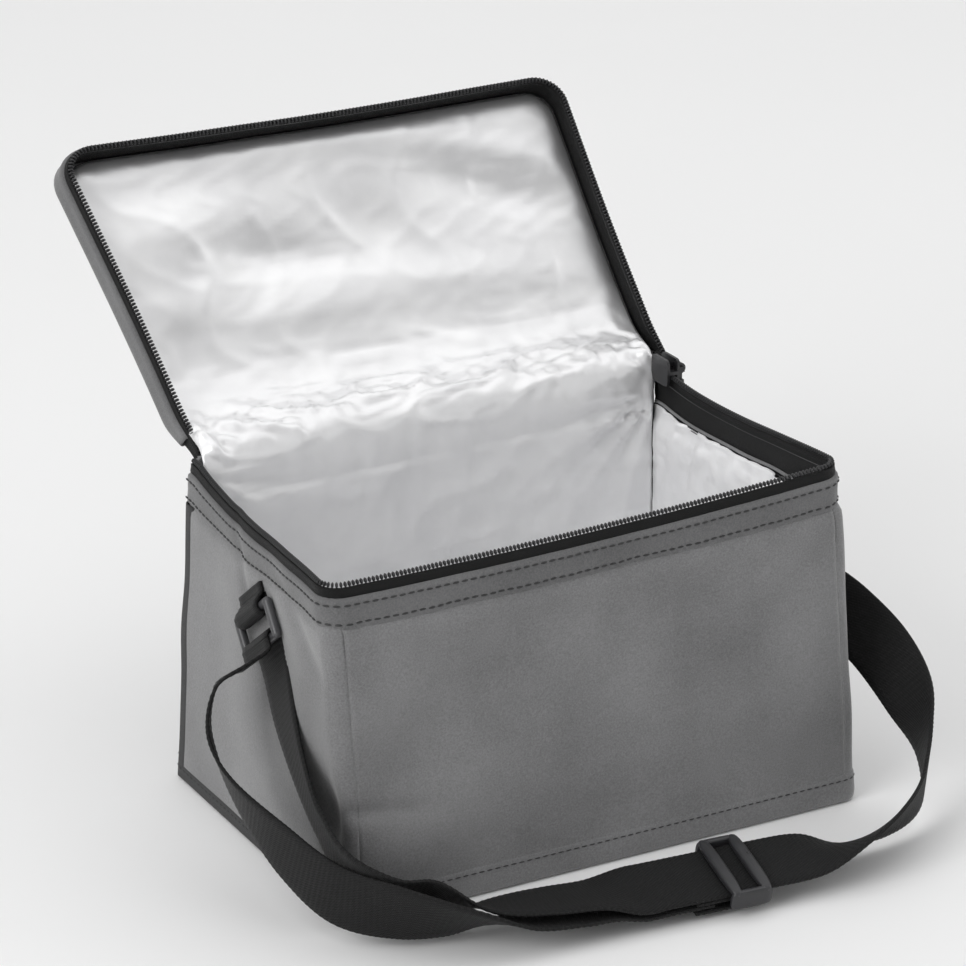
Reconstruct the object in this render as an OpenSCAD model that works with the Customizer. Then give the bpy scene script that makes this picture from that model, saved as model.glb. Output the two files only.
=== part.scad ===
// Insulated cooler bag with a zipped, hinged lid and an adjustable shoulder strap.
// Frame: +Z up, the front faces -Y, the origin is the centre of the base.
// The lid is drawn closed and turned back about its hinge by lid_open.

/* [Bag] */
// Width of the base
bag_w = 210; // [180:1:240]
// Depth of the base
bag_d = 140; // [120:1:160]
// Height of the lid hinge above the base
hinge_z = 130; // [120:1:150]
// How far each side wall leans in by hinge height
taper_x = 5; // [2:0.5:8]
// How far the front and back walls lean in by hinge height
taper_y = 4; // [2:0.5:6]
// Height of the folded strip at the bottom of the front and back
base_fold = 11.5; // [8:0.5:16]

/* [Layers] */
// Thickness of the outer fabric
fabric_t = 1; // [0.6:0.1:1.2]
// Thickness of the foam
foam_t = 3; // [2:0.5:4]
// Thickness of the foil lining
lining_t = 0.5; // [0.3:0.1:0.6]

/* [Rim and zip] */
// Height at which the walls end and the rim starts
wall_top = 114; // [108:1:116]
// Height of the fabric band around the rim
band_h = 11; // [8:0.5:12]
// Width of each half of the zip tape
tape_h = 15; // [14:0.5:16]
// Outer radius of the rim corners
rim_r = 10; // [8:1:14]
// Angle by which the lid is open at rest
lid_open = 132; // [100:1:150]

/* [Strap] */
// Width of the webbing
web_w = 25; // [23:0.5:26]
// Thickness of the webbing
web_t = 1.4; // [1:0.1:1.6]
// Radius of the rods of the strap rings
rod_r = 1.75; // [1.5:0.05:1.75]

/* [Hidden] */

$fn = 48;
BIG = 400;          // longer than any part of the bag
EPS = 0.01;

// Rim and lid, all at the closed position
rim_w = bag_w - 2 * taper_x;
rim_d = bag_d - 2 * taper_y;
hinge_y = rim_d / 2;
back_y = hinge_y - fabric_t;            // inner face of the back fabric at the hinge
tape_inset = fabric_t;                  // the tape is sewn inside the band
tape_t = 1;
coil_w = 2.4;
coil_h = 2;
body_tape_top = wall_top + tape_h;
coil_gap = 2.2;                         // the two coils never touch
lid_coil_z = body_tape_top + coil_h + coil_gap;
lid_tape_z = lid_coil_z + coil_h;
lid_top = lid_tape_z + tape_h;
back_gap = 0.6;                         // free space around the hinge line
lining_top_gap = 4;                     // the back lining stops below the hinge
lining_in = fabric_t + foam_t;
lining_floor = lining_in + lining_t;

// Zip slider, on the right side of the rim
slider_l = 12;
slider_back = hinge_y - 3;              // rear end of the slider at rest
slider_x = rim_w / 2 - tape_inset - tape_t / 2;
plate_t = 1.1;
plate_clear = 0.5;
crown_r = 0.9;
crown_x = slider_x + coil_w / 2 + plate_clear + plate_t + 2.8;  // axis of the puller
crown_y = slider_back - slider_l / 2;
crown_z = body_tape_top + coil_h + coil_gap / 2;
puller_l = 22;
puller_w = 7;
puller_t = 1.4;

// Strap ends: each ring swings about an X axis through swing_z
swing_z = 100;
swing_tilt = -36.87;                    // the strap hangs forwards and down at rest
patch_x = 103.6;                        // outer face of the sewn patch
patch_gap = 0.3;
ring_x = 107.5;
ring_w = 30;
ring_back = 6;                          // rear rod, measured along the strap from the swing axis
ring_front = 18;                        // front rod
web_clear = 0.3;
turn_r = rod_r + web_clear;             // inside radius of the webbing round a rod

// Tri-glide, on the straight stretch of the strap
glide_at = [25, -115.5, 11.5];
glide_turn = [14, 0, -4.764];
glide_l = 16;
glide_w = 31;
glide_bar = 3;
bar_t = 2;
layer_gap = 0.3;
glide_tail = 20;                        // length of the sewn end
return_z = -3.35;                       // the return strand lies under the main one

// Webbing routes: centre of the webbing, then the direction of its upper edge
MAIN_ROUTE = [
    [110.2, -10.8, 85.6, 0, -0.8, 0.6],
    [110.2, -16.8, 77.6, 0, -0.8, 0.6],
    [113.5, -28, 70.5, 0.3, -0.65, 0.62],
    [119.5, -43, 62.5, 0.5, -0.45, 0.65],
    [125, -58, 52.5, 0.5, -0.42, 0.65],
    [126.5, -74, 41, 0.3, -0.5, 0.7],
    [123.5, -90, 29, -0.2, -0.6, 0.7],
    [111.5, -106, 19.5, -0.35, -0.5, 0.75],
    [93, -116, 15, -0.25, -0.65, 0.7],
    [74, -119, 12, -0.1, -0.85, 0.45],
    [55, -118, 11.5, -0.08, -0.97, -0.16],
    [35, -116.33, 11.5, -0.08, -0.97, -0.24],
    [15, -114.67, 11.5, -0.08, -0.97, -0.24],
    [-5, -113, 11.5, -0.08, -0.97, -0.24],
    [-15, -112.17, 11.5, -0.08, -0.97, -0.24],
    [-29, -110, 12.5, -0.03, -0.99, 0.06],
    [-46, -106, 12.5, 0, -0.99, 0.12],
    [-66, -100, 12.5, 0, -0.95, 0.3],
    [-84, -92, 16, 0, -0.55, 0.8],
    [-97.5, -88, 20, -0.1, -0.6, 0.75],
    [-109.5, -77.5, 29, -0.2, -0.65, 0.7],
    [-110.5, -60, 38, -0.25, -0.75, 0.55],
    [-109.5, -44, 50, -0.2, -0.83, 0.48],
    [-107.5, -29, 64, -0.1, -0.82, 0.5],
    [-104.8, -16.8, 77.6, 0, -0.8, 0.6],
    [-104.8, -10.8, 85.6, 0, -0.8, 0.6]
];
RETURN_ROUTE = [
    [-110.2, -10.8, 85.6, 0, -0.8, 0.6],
    [-111, -13.4, 82, 0, -0.8, 0.6],
    [-118, -14.5, 80, -0.1, -0.8, 0.5],
    [-128, -15, 75, -0.35, -0.8, 0.4],
    [-133, -20, 60, -0.4, -0.8, 0.4],
    [-130, -33, 43, -0.3, -0.55, 0.65],
    [-122, -56, 28, -0.1, -0.2, 0.9],
    [-113.5, -78, 19.5, 0, -0.15, 0.95],
    [-98.5, -95.5, 16.5, 0, -0.35, 0.9],
    [-79, -105, 12.5, 0, -0.7, 0.7],
    [-58, -108, 8.5, 0, -0.95, 0.25],
    [-39, -110, 7.8, 0, -0.99, 0.1],
    [-25, -110.6, 8, -0.05, -0.99, 0],
    [-14, -111.45, 8.3, -0.08, -0.97, -0.24],
    [-5, -112.2, 8.3, -0.08, -0.97, -0.24],
    [12, -113.6, 8.3, -0.08, -0.97, -0.24]
];

function half_x(z) = bag_w / 2 - taper_x * z / hinge_z;
function half_y(z) = bag_d / 2 - taper_y * z / hinge_z;

// Catmull-Rom curve through the rows of a route
function spline(p0, p1, p2, p3, t) =
    0.5 * (2 * p1 + (p2 - p0) * t + (2 * p0 - 5 * p1 + 4 * p2 - p3) * t * t
        + (3 * p1 - p0 - 3 * p2 + p3) * t * t * t);
function smooth(rows, steps) = [
    for (i = [0 : len(rows) - 2], k = [0 : steps - 1])
        spline(rows[max(i - 1, 0)], rows[i], rows[i + 1], rows[min(i + 2, len(rows) - 1)], k / steps),
    rows[len(rows) - 1]
];
function unit(v) = v / norm(v);
function place(row) = [row[0], row[1], row[2]];
function edge(row) = [row[3], row[4], row[5]];
function along(rows, i) = unit(place(rows[min(i + 1, len(rows) - 1)]) - place(rows[max(i - 1, 0)]));
function across(rows, i) = let (t = along(rows, i), w = edge(rows[i])) unit(w - (w * t) * t);

// Block with the bag's leaning faces, each moved inwards by dx or dy
module leaning_block(dx, dy, z0, z1) {
    intersection() {
        rotate([90, 0, 0])
            linear_extrude(height = BIG, center = true)
                polygon([
                    [dx - half_x(z0), z0], [half_x(z0) - dx, z0],
                    [half_x(z1) - dx, z1], [dx - half_x(z1), z1]
                ]);
        rotate([90, 0, 90])
            linear_extrude(height = BIG, center = true)
                polygon([
                    [dy - half_y(z0), z0], [half_y(z0) - dy, z0],
                    [half_y(z1) - dy, z1], [dy - half_y(z1), z1]
                ]);
    }
}

// Half space on one side of the middle: side is 1 or -1, axis "x" or "y"
module half_space(axis, side) {
    turn = axis == "x" ? (side > 0 ? 0 : 180) : (side > 0 ? 90 : -90);
    rotate([0, 0, turn])
        translate([0, -BIG / 2, -BIG / 2])
            cube(BIG);
}

// Front (side -1) or back (side 1) wall of one layer, over the full width
module long_wall(side, depth, thick, z0, z1) {
    intersection() {
        difference() {
            leaning_block(depth, depth, z0, z1);
            leaning_block(-BIG, depth + thick, z0 - 1, z1 + 1);
        }
        half_space("y", side);
    }
}

// Left (side -1) or right (side 1) wall of one layer, between the long walls
module side_wall(side, depth, thick, z0, z1) {
    intersection() {
        difference() {
            leaning_block(depth, depth + thick, z0, z1);
            leaning_block(depth + thick, -BIG, z0 - 1, z1 + 1);
        }
        half_space("x", side);
    }
}

// Outline of the rim: round front corners, straight back edge at y_back
module rim_outline(inset, y_back) {
    w = rim_w / 2 - inset;
    front = -rim_d / 2 + inset;
    r = rim_r - inset;
    translate([-w, front + r])
        square([2 * w, y_back - front - r]);
    translate([-w + r, front])
        square([2 * (w - r), r + EPS]);
    for (side = [-1, 1])
        translate([side * (w - r), front + r])
            circle(r);
}

// U-shaped strip that follows the rim on three sides
module rim_strip(inset, thick, z0, z1) {
    translate([0, 0, z0])
        linear_extrude(height = z1 - z0)
            difference() {
                rim_outline(inset, back_y);
                rim_outline(inset + thick, back_y + 1);
            }
}

// Turns what is drawn at the closed position to the open one
module opened() {
    translate([0, hinge_y, hinge_z])
        rotate([-lid_open, 0, 0])
            translate([0, -hinge_y, -hinge_z])
                children();
}

// Puts a strap end, drawn hanging straight down on the right, at its rest angle
module strap_end(side) {
    mirror([side < 0 ? 1 : 0, 0, 0])
        translate([0, 0, swing_z])
            rotate([swing_tilt, 0, 0])
                children();
}

// Rod along Y, centred
module rod(r, length) {
    rotate([90, 0, 0])
        cylinder(r = r, h = length, center = true);
}

// Webbing swept along a route
module ribbon(route, steps) {
    rows = smooth(route, steps);
    n = len(rows);
    points = [
        for (i = [0 : n - 1])
            let (c = place(rows[i]), w = across(rows, i) * web_w / 2,
                 u = cross(along(rows, i), across(rows, i)) * web_t / 2)
            each [c + w + u, c - w + u, c - w - u, c + w - u]
    ];
    sides = [
        for (i = [0 : n - 2], k = [0 : 3])
            let (a = 4 * i + k, b = 4 * i + (k + 1) % 4)
            each [[a, b, a + 4], [b, b + 4, a + 4]]
    ];
    last = 4 * (n - 1);
    ends = [[0, 3, 2, 1], [last, last + 1, last + 2, last + 3]];
    polyhedron(points = points, faces = concat(sides, ends), convexity = 8);
}

// Outer fabric
module bottom_panel() {
    color([0.42, 0.42, 0.44])
        union() {
            leaning_block(0, 0, 0, fabric_t);
            for (side = [-1, 1])
                long_wall(side, 0, fabric_t, 0, base_fold);
        }
}

module front_panel() {
    color([0.42, 0.42, 0.44]) long_wall(-1, 0, fabric_t, base_fold, wall_top);
}

module back_panel() {
    color([0.42, 0.42, 0.44]) long_wall(1, 0, fabric_t, base_fold, hinge_z - back_gap);
}

module side_panel(side) {
    color([0.5, 0.5, 0.52]) side_wall(side, 0, fabric_t, fabric_t, wall_top);
}

// Angle strip over a back corner seam
module back_binding(side) {
    color([0.3, 0.3, 0.32])
        intersection() {
            difference() {
                leaning_block(-1.2, -1.2, 0, wall_top);
                leaning_block(0, 0, -1, wall_top + 1);
            }
            translate([side * bag_w / 2 - 6, bag_d / 2 - 8, 0])
                cube([12, 12, BIG]);
        }
}

// Strip over a bottom side seam
module base_binding(side) {
    color([0.3, 0.3, 0.32])
        intersection() {
            difference() {
                leaning_block(-1.2, 0, 0, 6);
                leaning_block(0, -1, -1, 7);
            }
            half_space("x", side);
            translate([-BIG / 2, -BIG, 0])
                cube([BIG, BIG + bag_d / 2 - 8, BIG]);
        }
}

// Foam and lining
module foam_bottom() {
    color([0.93, 0.93, 0.9]) leaning_block(fabric_t, fabric_t, fabric_t, fabric_t + foam_t);
}

module foam_long(side) {
    color([0.93, 0.93, 0.9]) long_wall(side, fabric_t, foam_t, fabric_t + foam_t, wall_top);
}

// The back layers rise to just below the hinge, between the ends of the rim tape
module upper_back(depth, thick) {
    intersection() {
        long_wall(1, depth, thick, wall_top, hinge_z - lining_top_gap);
        translate([-rim_w / 2 + 3, 0, 0])
            cube([rim_w - 6, BIG, BIG]);
    }
}

module foam_back() {
    color([0.93, 0.93, 0.9])
        union() {
            long_wall(1, fabric_t, foam_t, fabric_t + foam_t, wall_top);
            upper_back(fabric_t, foam_t);
        }
}

module foam_side(side) {
    color([0.93, 0.93, 0.9]) side_wall(side, fabric_t, foam_t, fabric_t + foam_t, wall_top);
}

module lining_bottom() {
    color([0.85, 0.85, 0.87]) leaning_block(lining_in, lining_in, lining_in, lining_floor);
}

module lining_front() {
    color([0.85, 0.85, 0.87]) long_wall(-1, lining_in, lining_t, lining_floor, wall_top);
}

module lining_back() {
    color([0.85, 0.85, 0.87])
        union() {
            long_wall(1, lining_in, lining_t, lining_floor, wall_top);
            upper_back(lining_in, lining_t);
        }
}

module lining_side(side) {
    color([0.85, 0.85, 0.87]) side_wall(side, lining_in, lining_t, lining_floor, wall_top);
}

// Rim of the body
module rim_band() {
    color([0.42, 0.42, 0.44]) rim_strip(0, fabric_t, wall_top, wall_top + band_h);
}

module body_zip_tape() {
    color([0.1, 0.1, 0.1]) rim_strip(tape_inset, tape_t, wall_top, body_tape_top);
}

module body_zip_coil() {
    color([0.08, 0.08, 0.08])
        rim_strip(tape_inset - (coil_w - tape_t) / 2, coil_w, body_tape_top, body_tape_top + coil_h);
}

// Lid
module lid_panel() {
    color([0.42, 0.42, 0.44])
        opened()
            translate([0, 0, lid_top])
                linear_extrude(height = fabric_t)
                    rim_outline(0, hinge_y);
}

module lid_back_strip() {
    color([0.42, 0.42, 0.44])
        opened()
            translate([-rim_w / 2, back_y, hinge_z + back_gap])
                cube([rim_w, fabric_t, lid_top - hinge_z - back_gap]);
}

module lid_band() {
    color([0.5, 0.5, 0.52]) opened() rim_strip(0, fabric_t, lid_top - band_h, lid_top);
}

module lid_zip_tape() {
    color([0.1, 0.1, 0.1]) opened() rim_strip(tape_inset, tape_t, lid_tape_z, lid_top);
}

module lid_zip_coil() {
    color([0.08, 0.08, 0.08])
        opened() rim_strip(tape_inset - (coil_w - tape_t) / 2, coil_w, lid_coil_z, lid_tape_z);
}

module lid_slab(top, thick) {
    opened()
        translate([0, 0, top - thick])
            linear_extrude(height = thick)
                rim_outline(tape_inset + tape_t, back_y);
}

module lid_foam() {
    color([0.93, 0.93, 0.9]) lid_slab(lid_top, foam_t);
}

module lid_lining() {
    color([0.85, 0.85, 0.87]) lid_slab(lid_top - foam_t, lining_t);
}

// Slider: two plates joined by a post at the front end, and a crown for the puller
module slider_plate(x) {
    h = 2 * coil_h + coil_gap + 4.6;
    r = 2;
    translate([x, slider_back - slider_l, crown_z - h / 2])
        rotate([90, 0, 90])
            linear_extrude(height = plate_t)
                union() {
                    translate([r, 0]) square([slider_l - 2 * r, h]);
                    translate([0, r]) square([slider_l, h - 2 * r]);
                    for (y = [r, slider_l - r], z = [r, h - r])
                        translate([y, z]) circle(r);
                }
}

module zip_slider() {
    inner = slider_x - coil_w / 2 - plate_clear - plate_t;
    outer = slider_x + coil_w / 2 + plate_clear;
    post_h = coil_gap - 0.8;
    lug_t = 1.2;
    lug_h = 2;
    crown_w = puller_w - 1;
    color([0.12, 0.12, 0.12])
        union() {
            slider_plate(inner);
            slider_plate(outer);
            translate([inner + EPS, slider_back - slider_l, crown_z - post_h / 2])
                cube([outer - inner, 3, post_h]);
            for (side = [-1, 1])
                translate([outer + plate_t - EPS, crown_y + side * crown_w / 2 - lug_t / 2, crown_z - lug_h / 2])
                    cube([crown_x - outer - plate_t + crown_r, lug_t, lug_h]);
            translate([crown_x, crown_y, crown_z])
                rod(crown_r, crown_w);
        }
}

// The puller hangs from the crown, outside the rim
module zip_puller() {
    eye_w = puller_w - 3;
    eye_r = crown_r + 1.3;
    neck_l = 4;
    end_z = puller_w / 2 - puller_l;
    blade_top = -eye_r - 2;
    color([0.15, 0.15, 0.15])
        translate([crown_x, crown_y, crown_z])
            difference() {
                union() {
                    rod(eye_r, eye_w);
                    translate([-puller_t / 2, 0, end_z])
                        rotate([0, 90, 0])
                            cylinder(d = puller_w, h = puller_t);
                    translate([-puller_t / 2, -puller_w / 2, end_z])
                        cube([puller_t, puller_w, blade_top - end_z]);
                    translate([-puller_t / 2, -eye_w / 2, blade_top - 0.5])
                        cube([puller_t, eye_w, neck_l]);
                }
                rod(crown_r + 0.1, BIG);
            }
}

// Strap ends
module tab_patch(side) {
    color([0.1, 0.1, 0.1])
        intersection() {
            difference() {
                translate([side * patch_x - 8, -13, swing_z - 12])
                    cube([16, 26, 20]);
                leaning_block(0, 0, 0, hinge_z);
                translate([side > 0 ? patch_x : -patch_x - BIG, -BIG / 2, 0])
                    cube(BIG);
            }
            half_space("x", side);
        }
}

// Webbing folded round the rear rod of the ring
module tab_loop(side) {
    x0 = patch_x + patch_gap;
    color([0.1, 0.1, 0.1])
        strap_end(side)
            difference() {
                union() {
                    translate([x0, -11, -ring_back])
                        cube([web_t, 22, ring_back + 5]);
                    translate([ring_x, 0, -ring_back])
                        rod(ring_x - x0, 22);
                }
                translate([ring_x, 0, -ring_back])
                    rod(rod_r + 0.1, BIG);
            }
}

module ring(side) {
    color([0.14, 0.14, 0.14])
        strap_end(side)
            union() {
                for (z = [-ring_back, -ring_front])
                    translate([ring_x, 0, z])
                        rod(rod_r, ring_w);
                for (y = [-1, 1] * ring_w / 2) {
                    translate([ring_x, y, -ring_front])
                        cylinder(r = rod_r, h = ring_front - ring_back);
                    for (z = [-ring_back, -ring_front])
                        translate([ring_x, y, z])
                            sphere(rod_r);
                }
            }
}

// Half turn of webbing round the front rod of the ring
module strap_turn(side) {
    color([0.1, 0.1, 0.1])
        strap_end(side)
            translate([ring_x, 0, -ring_front])
                intersection() {
                    difference() {
                        rod(turn_r + web_t, web_w);
                        rod(turn_r, BIG);
                    }
                    translate([-BIG / 2, -BIG / 2, 0])
                        cube(BIG);
                }
}

// Sewn tail behind the right end of the strap
module strap_tail_right() {
    color([0.1, 0.1, 0.1])
        strap_end(1)
            translate([ring_x - turn_r - web_t, -web_w / 2, -ring_front - 22])
                cube([web_t, web_w, 22]);
}

module strap_main() {
    color([0.1, 0.1, 0.1]) ribbon(MAIN_ROUTE, 2);
}

module strap_return() {
    color([0.1, 0.1, 0.1]) ribbon(RETURN_ROUTE, 2);
}

// The strap passes under the two outer bars and over the middle one
module tri_glide() {
    top = web_t / 2 + layer_gap;
    rail = (glide_w - web_w) / 2 - 0.6;
    bar_top = -web_t / 2 - 2 * layer_gap - web_t;
    color([0.14, 0.14, 0.14])
        translate(glide_at)
            rotate(glide_turn)
                union() {
                    for (side = [-1, 1])
                        translate([0, side * (glide_w - rail) / 2, 0])
                            translate([-glide_l / 2, -rail / 2, bar_top - bar_t])
                                cube([glide_l, rail, top + bar_t + bar_t - bar_top]);
                    for (side = [-1, 1])
                        translate([side * (glide_l - glide_bar) / 2 - glide_bar / 2, -glide_w / 2, top])
                            cube([glide_bar, glide_w, bar_t]);
                    translate([-glide_bar / 2, -glide_w / 2, bar_top - bar_t])
                        cube([glide_bar, glide_w, bar_t]);
                }
}

// Webbing sewn round the middle bar; it slides over the end of the return strand
module strap_end_loop() {
    top = -web_t / 2 - layer_gap;
    low = top - 2 * web_t - 2 * layer_gap - bar_t;
    reach = glide_bar / 2 + layer_gap;
    color([0.1, 0.1, 0.1])
        translate(glide_at)
            rotate(glide_turn)
                translate([0, -web_w / 2, 0])
                    union() {
                        for (z = [low, top - web_t])
                            translate([-glide_tail, 0, z])
                                cube([glide_tail + reach + web_t, web_w, web_t]);
                        translate([reach, 0, low])
                            cube([web_t, web_w, top - low]);
                    }
}

bottom_panel();
front_panel();
back_panel();
side_panel(-1);  // left_panel
side_panel(1);  // right_panel
back_binding(-1);  // binding_back_left
back_binding(1);  // binding_back_right
base_binding(-1);  // binding_base_left
base_binding(1);  // binding_base_right
foam_bottom();
foam_long(-1);  // foam_front
foam_back();
foam_side(-1);  // foam_left
foam_side(1);  // foam_right
lining_bottom();
lining_front();
lining_back();
lining_side(-1);  // lining_left
lining_side(1);  // lining_right
rim_band();
body_zip_tape();
body_zip_coil();
lid_panel();
lid_back_strip();
lid_band();
lid_foam();
lid_lining();
lid_zip_tape();
lid_zip_coil();
zip_slider();
zip_puller();
tab_patch(-1);  // tab_patch_left
tab_patch(1);  // tab_patch_right
tab_loop(-1);  // tab_loop_left
tab_loop(1);  // tab_loop_right
ring(-1);  // ring_left
ring(1);  // ring_right
strap_turn(-1);  // strap_turn_left
strap_turn(1);  // strap_turn_right
strap_tail_right();
strap_main();
strap_return();
tri_glide();
strap_end_loop();
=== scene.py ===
import math

import bpy
import numpy as np
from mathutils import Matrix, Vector


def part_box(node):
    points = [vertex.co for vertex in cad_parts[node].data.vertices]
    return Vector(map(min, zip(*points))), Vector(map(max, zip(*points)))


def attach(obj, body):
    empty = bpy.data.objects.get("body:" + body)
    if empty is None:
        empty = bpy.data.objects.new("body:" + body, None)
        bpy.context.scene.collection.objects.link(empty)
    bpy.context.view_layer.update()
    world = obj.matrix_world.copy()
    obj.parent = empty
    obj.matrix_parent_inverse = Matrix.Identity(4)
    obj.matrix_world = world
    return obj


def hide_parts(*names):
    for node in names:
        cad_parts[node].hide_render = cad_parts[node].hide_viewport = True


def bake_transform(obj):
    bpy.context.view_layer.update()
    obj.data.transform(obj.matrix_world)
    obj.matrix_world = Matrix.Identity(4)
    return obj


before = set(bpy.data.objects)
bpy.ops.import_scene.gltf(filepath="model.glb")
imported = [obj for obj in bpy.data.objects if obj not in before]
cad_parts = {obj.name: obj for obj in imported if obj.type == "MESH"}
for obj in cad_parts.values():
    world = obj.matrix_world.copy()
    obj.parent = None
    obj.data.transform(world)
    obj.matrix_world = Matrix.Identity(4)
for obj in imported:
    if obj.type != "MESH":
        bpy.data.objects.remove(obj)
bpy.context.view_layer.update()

# Everything below is drawn in millimetres and turned into metres as a mesh is made.
MM = 0.001


# ---------------------------------------------------------------- sizes of the bag, read from the frame
def corners(node):
    """Lowest and highest corner of a CAD node, in mm."""
    return [np.array(v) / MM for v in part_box(node)]


BASE_X, BASE_Y, FOLD_Z = corners("bottom_panel")[1]
band_low, band_high = corners("rim_band")
RIM_X, RIM_Y = band_high[0], -band_low[1]
WALL_Z, BAND_Z = band_low[2], band_high[2]
TAPE_Z = corners("body_zip_tape")[1][2]
HINGE_Y, HINGE_Z = RIM_Y, 130.0
LID_OPEN = math.radians(132)
# Heights of the lid's layers, as it is drawn closed
LID_TAPE = 135.2
LID_TOP = 150.2
LID_LINING = 146.7
TAPE_END_Y = HINGE_Y - 1.0


# ---------------------------------------------------------------- shapes and meshes
def smoothstep(t):
    t = np.clip(t, 0, 1)
    return t * t * (3 - 2 * t)


def waves(points, scale, seed, count=9):
    """Smooth noise of about -1 to 1: a sum of sine waves in seeded directions, about scale mm long."""
    pick = np.random.RandomState(seed)
    total = np.zeros(len(points))
    for _ in range(count):
        way = pick.normal(size=3)
        way *= pick.uniform(0.6, 1.7) * 2 * math.pi / scale / np.linalg.norm(way)
        total += np.sin(points @ way + pick.uniform(0, 2 * math.pi))
    return total / math.sqrt(count)


def grid_faces(rows, cols, closed=False):
    last = cols if closed else cols - 1
    return [
        (r * cols + c, r * cols + (c + 1) % cols, (r + 1) * cols + (c + 1) % cols, (r + 1) * cols + c)
        for r in range(rows - 1)
        for c in range(last)
    ]


def make_piece(name, points, faces, material, uv=None, smooth=True):
    """A mesh object from points in mm. uv, in mm, gives each point its place on the flat cloth."""
    mesh = bpy.data.meshes.new(name)
    mesh.from_pydata([tuple(p * MM) for p in np.asarray(points, float)], [], faces)
    mesh.update()
    if uv is not None:
        layer = mesh.uv_layers.new(name="UVMap")
        index = np.zeros(len(mesh.loops), int)
        mesh.loops.foreach_get("vertex_index", index)
        layer.data.foreach_set("uv", (np.asarray(uv, float)[index] * MM).astype(np.float32).ravel())
    mesh.polygons.foreach_set("use_smooth", [smooth] * len(mesh.polygons))
    mesh.materials.append(material)
    piece = bpy.data.objects.new(name, mesh)
    bpy.context.scene.collection.objects.link(piece)
    return piece


def thicken(piece, thick, offset=-1.0):
    solid = piece.modifiers.new("thickness", "SOLIDIFY")
    solid.thickness = thick * MM
    solid.offset = offset
    solid.use_even_offset = False
    return piece


def settle(piece, body, slot, *nodes):
    """The piece rides on a body and stands for CAD nodes; slot is not used."""
    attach(piece, body)
    if nodes:
        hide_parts(*nodes)
    return piece


def cloth_grid(name, grid, material, thick, uv=None, flip=False):
    """A sheet of cloth over a grid of points, rows by columns."""
    rows, cols = grid.shape[:2]
    faces = grid_faces(rows, cols)
    if flip:
        faces = [f[::-1] for f in faces]
    flat = grid.reshape(-1, 3)
    if uv is None:
        down = np.zeros((rows, cols))
        down[1:] = np.cumsum(np.linalg.norm(np.diff(grid, axis=0), axis=2), axis=0)
        across = np.zeros((rows, cols))
        across[:, 1:] = np.cumsum(np.linalg.norm(np.diff(grid, axis=1), axis=2), axis=1)
        uv = np.stack([across.ravel(), down.ravel()], axis=1)
    return thicken(make_piece(name, flat, faces, material, uv), thick)


def catmull_rom(rows, steps):
    rows = np.asarray(rows, float)
    out = []
    last = len(rows) - 1
    for i in range(last):
        p0, p1, p2, p3 = rows[max(i - 1, 0)], rows[i], rows[i + 1], rows[min(i + 2, last)]
        for k in range(steps):
            t = k / steps
            out.append(0.5 * (2 * p1 + (p2 - p0) * t + (2 * p0 - 5 * p1 + 4 * p2 - p3) * t * t
                              + (3 * p1 - p0 - 3 * p2 + p3) * t ** 3))
    out.append(rows[last])
    return np.array(out)


def even_steps(points, step):
    """The same line with points at an even spacing."""
    gaps = np.linalg.norm(np.diff(points[:, :3], axis=0), axis=1)
    run = np.concatenate([[0], np.cumsum(gaps)])
    count = max(2, int(round(run[-1] / step)) + 1)
    at = np.linspace(0, run[-1], count)
    return np.stack([np.interp(at, run, points[:, k]) for k in range(points.shape[1])], axis=1)


def line_frames(points, edges):
    along = np.gradient(points, axis=0)
    along /= np.linalg.norm(along, axis=1)[:, None]
    wide = edges - np.sum(edges * along, axis=1)[:, None] * along
    wide /= np.linalg.norm(wide, axis=1)[:, None]
    return along, wide, np.cross(along, wide)


# ---------------------------------------------------------------- materials
def shader(name, colour, rough, metallic=0.0):
    material = bpy.data.materials.new(name)
    material.use_nodes = True
    nodes, links = material.node_tree.nodes, material.node_tree.links
    body = nodes["Principled BSDF"]
    body.inputs["Base Color"].default_value = (*colour, 1)
    body.inputs["Roughness"].default_value = rough
    body.inputs["Metallic"].default_value = metallic
    return material, nodes, links, body


def add_noise(nodes, links, coordinates, scale, detail=3, rough=0.5, stretch=None):
    noise = nodes.new("ShaderNodeTexNoise")
    noise.inputs["Scale"].default_value = scale
    noise.inputs["Detail"].default_value = detail
    noise.inputs["Roughness"].default_value = rough
    source = coordinates
    if stretch:
        mapping = nodes.new("ShaderNodeMapping")
        mapping.inputs["Scale"].default_value = stretch
        links.new(coordinates, mapping.inputs["Vector"])
        source = mapping.outputs["Vector"]
    links.new(source, noise.inputs["Vector"])
    return noise.outputs["Fac"]


def add_ramp(nodes, links, value, stops):
    ramp = nodes.new("ShaderNodeValToRGB")
    elements = ramp.color_ramp.elements
    while len(elements) < len(stops):
        elements.new(0.5)
    for element, (at, colour) in zip(elements, stops):
        element.position = at
        element.color = (*colour, 1)
    links.new(value, ramp.inputs["Fac"])
    return ramp.outputs["Color"]


def add_mix(nodes, links, share, a, b):
    mix = nodes.new("ShaderNodeMix")
    mix.data_type = "RGBA"
    if isinstance(share, float):
        mix.inputs["Factor"].default_value = share
    else:
        links.new(share, mix.inputs["Factor"])
    links.new(a, mix.inputs[6])
    links.new(b, mix.inputs[7])
    return mix.outputs[2]


def add_math(nodes, links, operation, a, b):
    node = nodes.new("ShaderNodeMath")
    node.operation = operation
    for socket, value in zip(node.inputs, (a, b)):
        if isinstance(value, (int, float)):
            socket.default_value = value
        else:
            links.new(value, socket)
    return node.outputs[0]


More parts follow.
